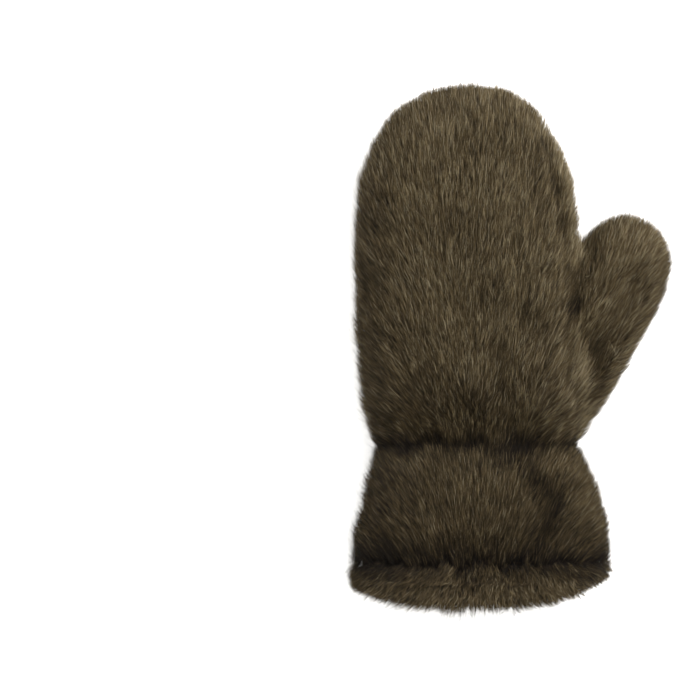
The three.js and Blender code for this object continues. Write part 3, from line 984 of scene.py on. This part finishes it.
    def grow(self, pelt: Pelt, tree: BVHTree, finish: bpy.types.Material, seed: int) -> None:
        """Grows the coat and makes its pieces.

        Args:
            pelt: the skin that it grows from.
            tree: the skin's faces.
            finish: the fur's material.
            seed: the seed of every random draw.
        """
        rng = np.random.default_rng(seed)
        for hair in (GUARD_HAIR, UNDERFUR, FLYAWAY):
            strands = int(self.triangle_budget * hair.share) // (2 * hair.bends + 1)
            tufts = strands // hair.in_tuft
            roots = self.roots(pelt, tufts, rng)
            length, rise, turn = self.shape(hair, roots, rng)
            path, ups = self.guides(pelt, tree, roots, length, rise, turn)
            shade = np.repeat(self.shades(hair, roots, rng), hair.in_tuft)
            shade = np.clip(shade + self.STRAND_SHADE * rng.normal(size=len(shade)),
                            self.DARKEST, self.LIGHTEST)
            corners, shares = self.spread(hair, np.repeat(path, hair.in_tuft, axis=0),
                                          np.repeat(ups, hair.in_tuft, axis=0), rng)
            self.join(hair, corners, shade, shares, finish)

    def shape(self, hair: Hair, roots: Roots, rng: np.random.Generator
              ) -> tuple[np.ndarray, np.ndarray, np.ndarray]:
        """Chooses the form of each tuft.

        Args:
            hair: the kind of hair.
            roots: where the tufts are rooted.
            rng: the source of chance.

        Returns:
            Each tuft's length, how far its tip stands off the skin, and how far it strays from
            the nap in radians.
        """
        places, tufts = roots.places, len(roots.places)
        turn = (np.radians(self.swirl_degrees) * self.SWIRL.at(places, rng)
                + np.radians(self.eddy_degrees) * self.EDDY.at(places, rng)
                + np.radians(self.stray_degrees) * rng.normal(size=tufts))
        length = hair.length * self.pile_mm * MM * self.STATURE.shares(places, rng)
        rise = hair.rise * self.rise_mm * MM * self.LIFT.shares(places, rng)
        rise = rise * np.clip(1 - self.LOWER_A_MM * roots.depth, self.LOWEST, 1.0) * roots.cover
        if self.trim_at_mm is not None:
            ahead = np.maximum(self.trim_at_mm * MM - places[:, 1], 0.0)
            room = ahead + rng.uniform(*self.trim_reach_mm, size=tufts) * MM
            rise = rise * np.clip(room / length, self.TRIMMED_RISE, 1.0)
            length = np.minimum(length, np.maximum(room, self.TRIMMED_MM * MM))
        return length, rise, turn

    def shades(self, hair: Hair, roots: Roots, rng: np.random.Generator) -> np.ndarray:
        """Chooses how light each tuft's hair is.

        Args:
            hair: the kind of hair.
            roots: where the tufts are rooted.
            rng: the source of chance.

        Returns:
            The shades, nought for the darkest hair and one for the lightest.
        """
        places = roots.places
        # A panel's lightness here is partly painted light and shade, and the roots' shadow is
        # painted shade of seams and folds.
        return (self.MIDDLE_SHADE + self.tone + hair.tone - roots.shadow
                + self.PATCH_SHADE * self.PATCH.at(places, rng)
                + self.STREAK_SHADE * self.STREAK.at(places * np.array(self.STREAK_DRAWN), rng)
                + self.TUFT_SHADE * rng.normal(size=len(places)))

    def spread(self, hair: Hair, path: np.ndarray, ups: np.ndarray, rng: np.random.Generator
               ) -> tuple[np.ndarray, np.ndarray]:
        """Spreads the strands round their tufts.

        Args:
            hair: the kind of hair.
            path: the line of each strand's tuft.
            ups: the skin's normals beside it.
            rng: the source of chance.

        Returns:
            Each strand's corners, in pairs from the root and one at the tip, and how far along
            the strand each pair and the tip are.
        """
        count = len(path)
        index = np.arange(count)
        along = unit(path[:, 1] - path[:, 0])
        side = unit(np.cross(along, ups[:, 0]))
        ahead = np.cross(ups[:, 0], side)
        reach = hair.tuft_radius_mm * MM * np.sqrt(rng.uniform(size=count))
        turn = rng.uniform(0, 2 * math.pi, count)
        gather = rng.uniform(*hair.gather, size=count // hair.in_tuft)
        gather = np.repeat(gather, hair.in_tuft)[:, None]
        fringe = side * (reach * np.cos(turn))[:, None] + ahead * (reach * np.sin(turn))[:, None]
        shares = np.linspace(0, 1, hair.bends + 2) ** self.BENDS_EARLY
        end = rng.uniform(*self.ENDS, count)
        curl = rng.normal(size=count) * self.CURL * self.pile_mm * MM
        twist = rng.normal(size=count) * math.radians(self.TWIST_DEGREES)
        thick = rng.uniform(*self.THICKNESS, count)
        rows = []
        for share in shares:
            spot = np.clip(share * end, 0, 1.1) * self.STEPS
            low = np.clip(spot.astype(int), 0, self.STEPS - 1)
            part = (spot - low)[:, None]
            centre = path[index, low] * (1 - part) + path[index, low + 1] * part
            bent = side * (curl * share ** 2)[:, None]
            rows.append(centre + fringe * (1 - gather * share) + bent)
        return self.widen(hair, np.stack(rows, axis=1), ups, twist, thick), shares

    def widen(self, hair: Hair, line: np.ndarray, ups: np.ndarray, twist: np.ndarray,
              thick: np.ndarray) -> np.ndarray:
        """Gives strands their width.

        Args:
            hair: the kind of hair.
            line: each strand's middle line.
            ups: the skin's normals beside its tuft.
            twist: how far each strand's flat side is turned, in radians.
            thick: each strand's share of the hair's width.

        Returns:
            Each strand's corners, in pairs from the root and one at the tip.
        """
        heading = unit(line[:, 1:] - line[:, :-1])
        cosine, sine = np.cos(twist)[:, None], np.sin(twist)[:, None]
        strips = []
        for k in range(hair.bends + 1):
            flat = unit(np.cross(heading[:, k], ups[:, 0]))
            edge = flat * cosine + np.cross(heading[:, k], flat) * sine
            width = hair.width_mm * MM / 2 * thick[:, None] * (1.0 if k == 0 else self.TAPER)
            strips += [line[:, k] - edge * width, line[:, k] + edge * width]
        strips.append(line[:, -1])
        corners = np.stack(strips, axis=1)
        corners[:, :, 2] = np.maximum(corners[:, :, 2], self.OFF_FLOOR_MM * MM)
        return corners

    def join(self, hair: Hair, corners: np.ndarray, shade: np.ndarray, shares: np.ndarray,
             finish: bpy.types.Material) -> None:
        """Writes the strands' mesh with its map.

        Args:
            hair: the kind of hair.
            corners: each strand's corners, in pairs from the root and one at the tip.
            shade: each strand's place from dark to light hair.
            shares: how far along the strand each pair of corners and the tip are.
            finish: the fur's material.
        """
        count, per = corners.shape[:2]
        quads = [(2 * k, 2 * k + 1, 2 * k + 3, 2 * k + 2) for k in range(hair.bends)]
        tip = (per - 3, per - 2, per - 1)
        pattern = np.array([c for q in quads for c in q] + list(tip))
        sizes = np.array([4] * hair.bends + [3])
        loops = ((np.arange(count) * per)[:, None] + pattern).ravel()
        totals = np.tile(sizes, count)
        starts = np.concatenate(((0,), np.cumsum(totals)[:-1]))
        name = f"{self.panel}_{hair.name}"
        mesh = bpy.data.meshes.new(name)
        mesh.vertices.add(count * per)
        mesh.vertices.foreach_set("co", corners.astype(np.float32).ravel())
        mesh.loops.add(len(loops))
        mesh.loops.foreach_set("vertex_index", loops.astype(np.int32))
        mesh.polygons.add(len(totals))
        mesh.polygons.foreach_set("loop_start", starts.astype(np.int32))
        mesh.polygons.foreach_set("loop_total", totals.astype(np.int32))
        mesh.polygons.foreach_set("use_smooth", np.ones(len(totals), bool))
        mesh.update(calc_edges=True)
        upward = np.concatenate((np.repeat(shares[:-1], 2), shares[-1:]))[pattern]
        place = np.stack((np.repeat(shade, len(pattern)), np.tile(upward, count)), axis=1)
        mesh.uv_layers.new(name=COAT_MAP).data.foreach_set("uv", place.astype(np.float32).ravel())
        mesh.materials.append(finish)
        self.pieces.append(stand(name, mesh))


@dataclass
class Panel:
    """One sewn panel of the mitten: its hide and its coat."""

    slot: str
    coat: Coat
    hide: Hide
    seed: int

    def build(self, source: bpy.types.Object, pelt: Pelt, tree: BVHTree,
              fur: bpy.types.Material, suede: bpy.types.Material) -> None:
        """Shapes the hide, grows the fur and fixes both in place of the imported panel.

        Args:
            source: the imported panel.
            pelt: the skin that the fur is rooted in.
            tree: the pelt's faces.
            fur: the coat's material.
            suede: the hide's material.
        """
        self.hide.build(source, pelt, suede)
        self.coat.grow(pelt, tree, fur, self.seed)
        for piece in (self.hide.piece, *self.coat.pieces):
            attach(piece, BODY)
            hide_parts(source.name)
            triangles = sum(len(face.vertices) - 2 for face in piece.data.polygons)
            log.info("%s: %d triangles", piece.name, triangles)


@dataclass(frozen=True)
class SoftLight:
    """A square soft light that faces the mitten and isn't seen itself."""

    name: str
    place_m: tuple[float, float, float]
    side_m: float
    power_w: float

    def hang(self) -> None:
        """Hangs the light and turns it to the mitten."""
        data = bpy.data.lights.new(self.name, "AREA")
        data.size = self.side_m
        data.energy = self.power_w
        lamp = stand(self.name, data)
        lamp.location = self.place_m
        lamp.rotation_mode = "QUATERNION"
        lamp.rotation_quaternion = (-Vector(self.place_m)).to_track_quat("-Z", "Y")
        lamp.visible_camera = False


@dataclass(frozen=True)
class Studio:
    """The pale floor, the soft lights and the camera straight above."""

    lights: tuple[SoftLight, ...] = (
        SoftLight("key", (1.2, 1.1, 1.1), 1.4, 121.0),
        SoftLight("fill", (-0.9, -0.5, 1.6), 1.8, 14.0),
    )
    sky: str = "#ffffff"
    sky_strength: float = 1.62
    view_centre_mm: tuple[float, float] = (-85.4, -1.06)  # the mitten lies right of the middle
    view_width_mm: float = 371.2
    camera_height_mm: float = 2000.0  # above the mitten's middle height
    middle_height_mm: float = 25.0
    film_mm: float = 36.0
    farthest_seen_mm: float = 20000.0
    floor_mm: float = 9000.0

    def build(self) -> None:
        """Builds the floor, the lights and the camera."""
        self.lay_floor(UncoatedCard().material())
        for light in self.lights:
            light.hang()
        world = bpy.data.worlds.new("studio")
        world.use_nodes = True
        background = world.node_tree.nodes["Background"]
        background.inputs["Color"].default_value = linear(self.sky)
        background.inputs["Strength"].default_value = self.sky_strength
        bpy.context.scene.world = world
        bpy.context.scene.view_settings.view_transform = "Standard"
        self.place_camera()
        log.info("studio: floor, %d lights and camera", len(self.lights))

    def lay_floor(self, finish: bpy.types.Material) -> None:
        """Lays the floor that the mitten rests on.

        Args:
            finish: the floor's material.
        """
        half = self.floor_mm * MM / 2
        mesh = bpy.data.meshes.new("floor")
        mesh.from_pydata([(-half, -half, 0), (half, -half, 0), (half, half, 0), (-half, half, 0)],
                         [], [(0, 1, 2, 3)])
        mesh.materials.append(finish)
        stand("floor", mesh)

    def place_camera(self) -> None:
        """Places the camera straight above the middle of the view, with the fingertips up."""
        data = bpy.data.cameras.new("camera")
        data.sensor_width = self.film_mm
        data.lens = self.film_mm * self.camera_height_mm / self.view_width_mm
        data.clip_end = self.farthest_seen_mm * MM
        camera = stand("camera", data)
        x, y = self.view_centre_mm
        camera.location = (x * MM, y * MM, (self.camera_height_mm + self.middle_height_mm) * MM)
        bpy.context.scene.camera = camera


@dataclass
class Mitten:
    """The whole mitten, panel by panel, from the hem to the fingertips."""

    nodes: dict[str, bpy.types.Object]
    panels: list[Panel] = field(default_factory=list)

    BODY_FAN = ((0.0, 45.0, 50.0), (0.3, 48.0, 42.0), (0.45, 40.0, 28.0), (0.6, 30.0, 16.0),
                (0.8, 22.0, 12.0), (1.0, 12.0, 8.0))
    THUMB_FAN = ((0.0, 10.0, 10.0), (0.3, 14.0, 14.0), (0.7, 18.0, 26.0), (1.0, 18.0, 26.0))
    HEM_FAN = ((0.0, 50.0, 50.0), (1.0, 55.0, 55.0))
    PILE_DEPTH = 0.9  # share of the fur's rise that lies inside the imported panel's skin
    # Brown fur, dyed, its long pile brushed: dull and nearly black at the roots, partly its own
    # colour and partly painted shade between the hairs, with greyish beige tips, so that
    # partings show as dark lines.
    FUR = DyedFur(
        "fur_dyed_brown_long_pile",
        hair=((0.0, "#0f0b06"), (0.35, "#2c2313"), (0.6, "#4f432c"), (0.85, "#706248"),
              (1.0, "#8d8269")),
        paling_and_painted_shade=((0.0, "#4c4c4c"), (0.3, "#939393"), (0.7, "#e9e9e9"), (1.0, "#ffffff")),
    )
    # The same hide's flesh side, tanned and sueded: it drinks the light inside the mouth.
    HIDE = SuededHide("suede_tanned_brown_napped", "#1a140d", "#2a2118")
    FIRST_SEED = 11
    PARTINGS = (
        # Each seam's shadow is painted shade in the fur along it, where the hair parts.
        Parting("back_panel", "palm_panel", 2.2, 3.0, 0.2),
        Parting("palm_panel", "thumb", 1.5, 4.0, 0.1),
        Parting("back_panel", "thumb", 1.5, 4.0, 0.1),
        Parting("back_panel", "cuff", 0.8, 4.0, 0.36, evened_mm=6.0),
        Parting("palm_panel", "cuff", 0.8, 4.0, 0.1, evened_mm=6.0),
        Parting("cuff", "cuff_hem", 0.6, 8.0, 0.27, evened_mm=6.0, mingled_mm=4.5),
    )
    CREASES = (
        # Each line's shadow is painted shade in the fur along it.
        # Beside the thumb: a nick, the long fold, the gusset's fold and the crotch.
        Crease(((36.0, 20.0), (32.3, 10.6)), 1.5, 2.5, 0.25),
        Crease(((30.2, 14.8), (32.3, -15.4), (40.3, -33.9)), 1.0, 3.0, 0.1),
        Crease(((41.9, -0.5), (45.1, -13.8), (48.3, -27.6)), 1.2, 3.0, 0.2),
        Crease(((44.0, 48.0), (44.5, 36.0), (46.0, 26.0)), 1.2, 4.0, 0.12),
        # Down the side of the fingers, and along the thumb.
        Crease(((20.5, 108.0), (24.4, 89.1), (28.6, 71.0), (29.5, 58.0)), 2.6, 3.0, 0.36),
        Crease(((63.6, 32.3), (54.6, 14.8), (46.1, -6.9)), 1.5, 6.0, 0.12),
        # The valley down the middle of the hand, and its dimples.
        Crease(((-8.7, -3.7), (-4.2, -27.6), (-0.5, -56.7)), 2.8, 6.5, 0.17),
        Crease(((5.8, 11.7),), 1.5, 5.0, 0.15),
        Crease(((-16.4, 19.1),), 1.0, 5.0, 0.1),
        Crease(((-21.7, -35.0),), 1.5, 5.0, 0.15),
        # On the cuff: a dimple, the slanting fold and the pinch at the wrist.
        Crease(((-5.8, -67.3),), 1.5, 4.0, 0.2),
        Crease(((6.9, -69.5), (21.7, -86.4), (14.8, -100.8)), 2.4, 5.5, 0.3),
        Crease(((-9.5, -60.0), (0.5, -58.3), (15.9, -55.2)), 2.0, 5.0, 0.2),
        # Painted shade without a fold: the edge away from the thumb, and the heel of the hand, on
        # the lower left, away from the key light.
        Crease(((-80.0, 60.0), (-80.0, 5.0), (-68.0, -55.0), (-75.0, -105.0)), 0.0, 24.0, 0.15),
        Crease(((-48.0, -28.0), (-30.0, -48.0)), 0.0, 16.0, 0.12),
    )

    def vertices(self, *names: str) -> np.ndarray:
        """Gives the vertices of some packed panels."""
        return np.array([v.co for name in names for v in self.nodes[name].data.vertices])

    def build(self) -> None:
        """Works out the pelt and builds every panel on it."""
        body = Lay.measured(Heading.TO_FINGERTIPS, self.BODY_FAN,
                            self.vertices("back_panel", "palm_panel", "cuff", "cuff_hem"))
        thumb = Lay.measured(Heading.ALONG_THUMB, self.THUMB_FAN, self.vertices("thumb"))
        hem = Lay.measured(Heading.OVER_THE_MOUTH, self.HEM_FAN, self.vertices("cuff_hem"))
        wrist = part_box("cuff")[1].y / MM
        # A coat's lightness is partly its own colour and partly painted light and shade: the
        # palm's strip lighter at the right edge that faces the key light, the cuff and hem darker
        # toward the bottom.
        coats = {
            "back_fur": Coat("back_panel", body, 310_000),
            "palm_fur": Coat("palm_panel", body, 140_000, tone=0.24),
            "thumb_fur": Coat("thumb", thumb, 125_000, tone=0.01),
            "cuff_fur": Coat("cuff", body, 220_000, tone=-0.15, trim_at_mm=wrist),
            "hem_fur": Coat("cuff_hem", hem, 100_000, tone=-0.09, pile_mm=7.4, follow=0.6,
                            stray_degrees=14.0),
        }
        self.panels = [Panel(slot, coat, Hide(coat.panel), seed)
                       for seed, (slot, coat) in enumerate(coats.items(), self.FIRST_SEED)]
        depths = tuple(self.PILE_DEPTH * panel.coat.rise_mm for panel in self.panels)
        names = tuple(panel.coat.panel for panel in self.panels)
        pelt = Pelt(names, depths, self.PARTINGS, self.CREASES)
        pelt.build(self.nodes)
        tree = pelt.tree()
        fur, suede = self.FUR.material(), self.HIDE.material()
        for panel in self.panels:
            panel.build(self.nodes[panel.coat.panel], pelt, tree, fur, suede)


def main() -> None:
    """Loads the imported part, dresses it and sets up the studio."""
    logging.basicConfig(level=logging.INFO, format="%(name)s: %(message)s")
    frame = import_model()
    Mitten(frame["nodes"]).build()
    Studio().build()
    bpy.context.view_layer.update()


if __name__ == "__main__":
    main()
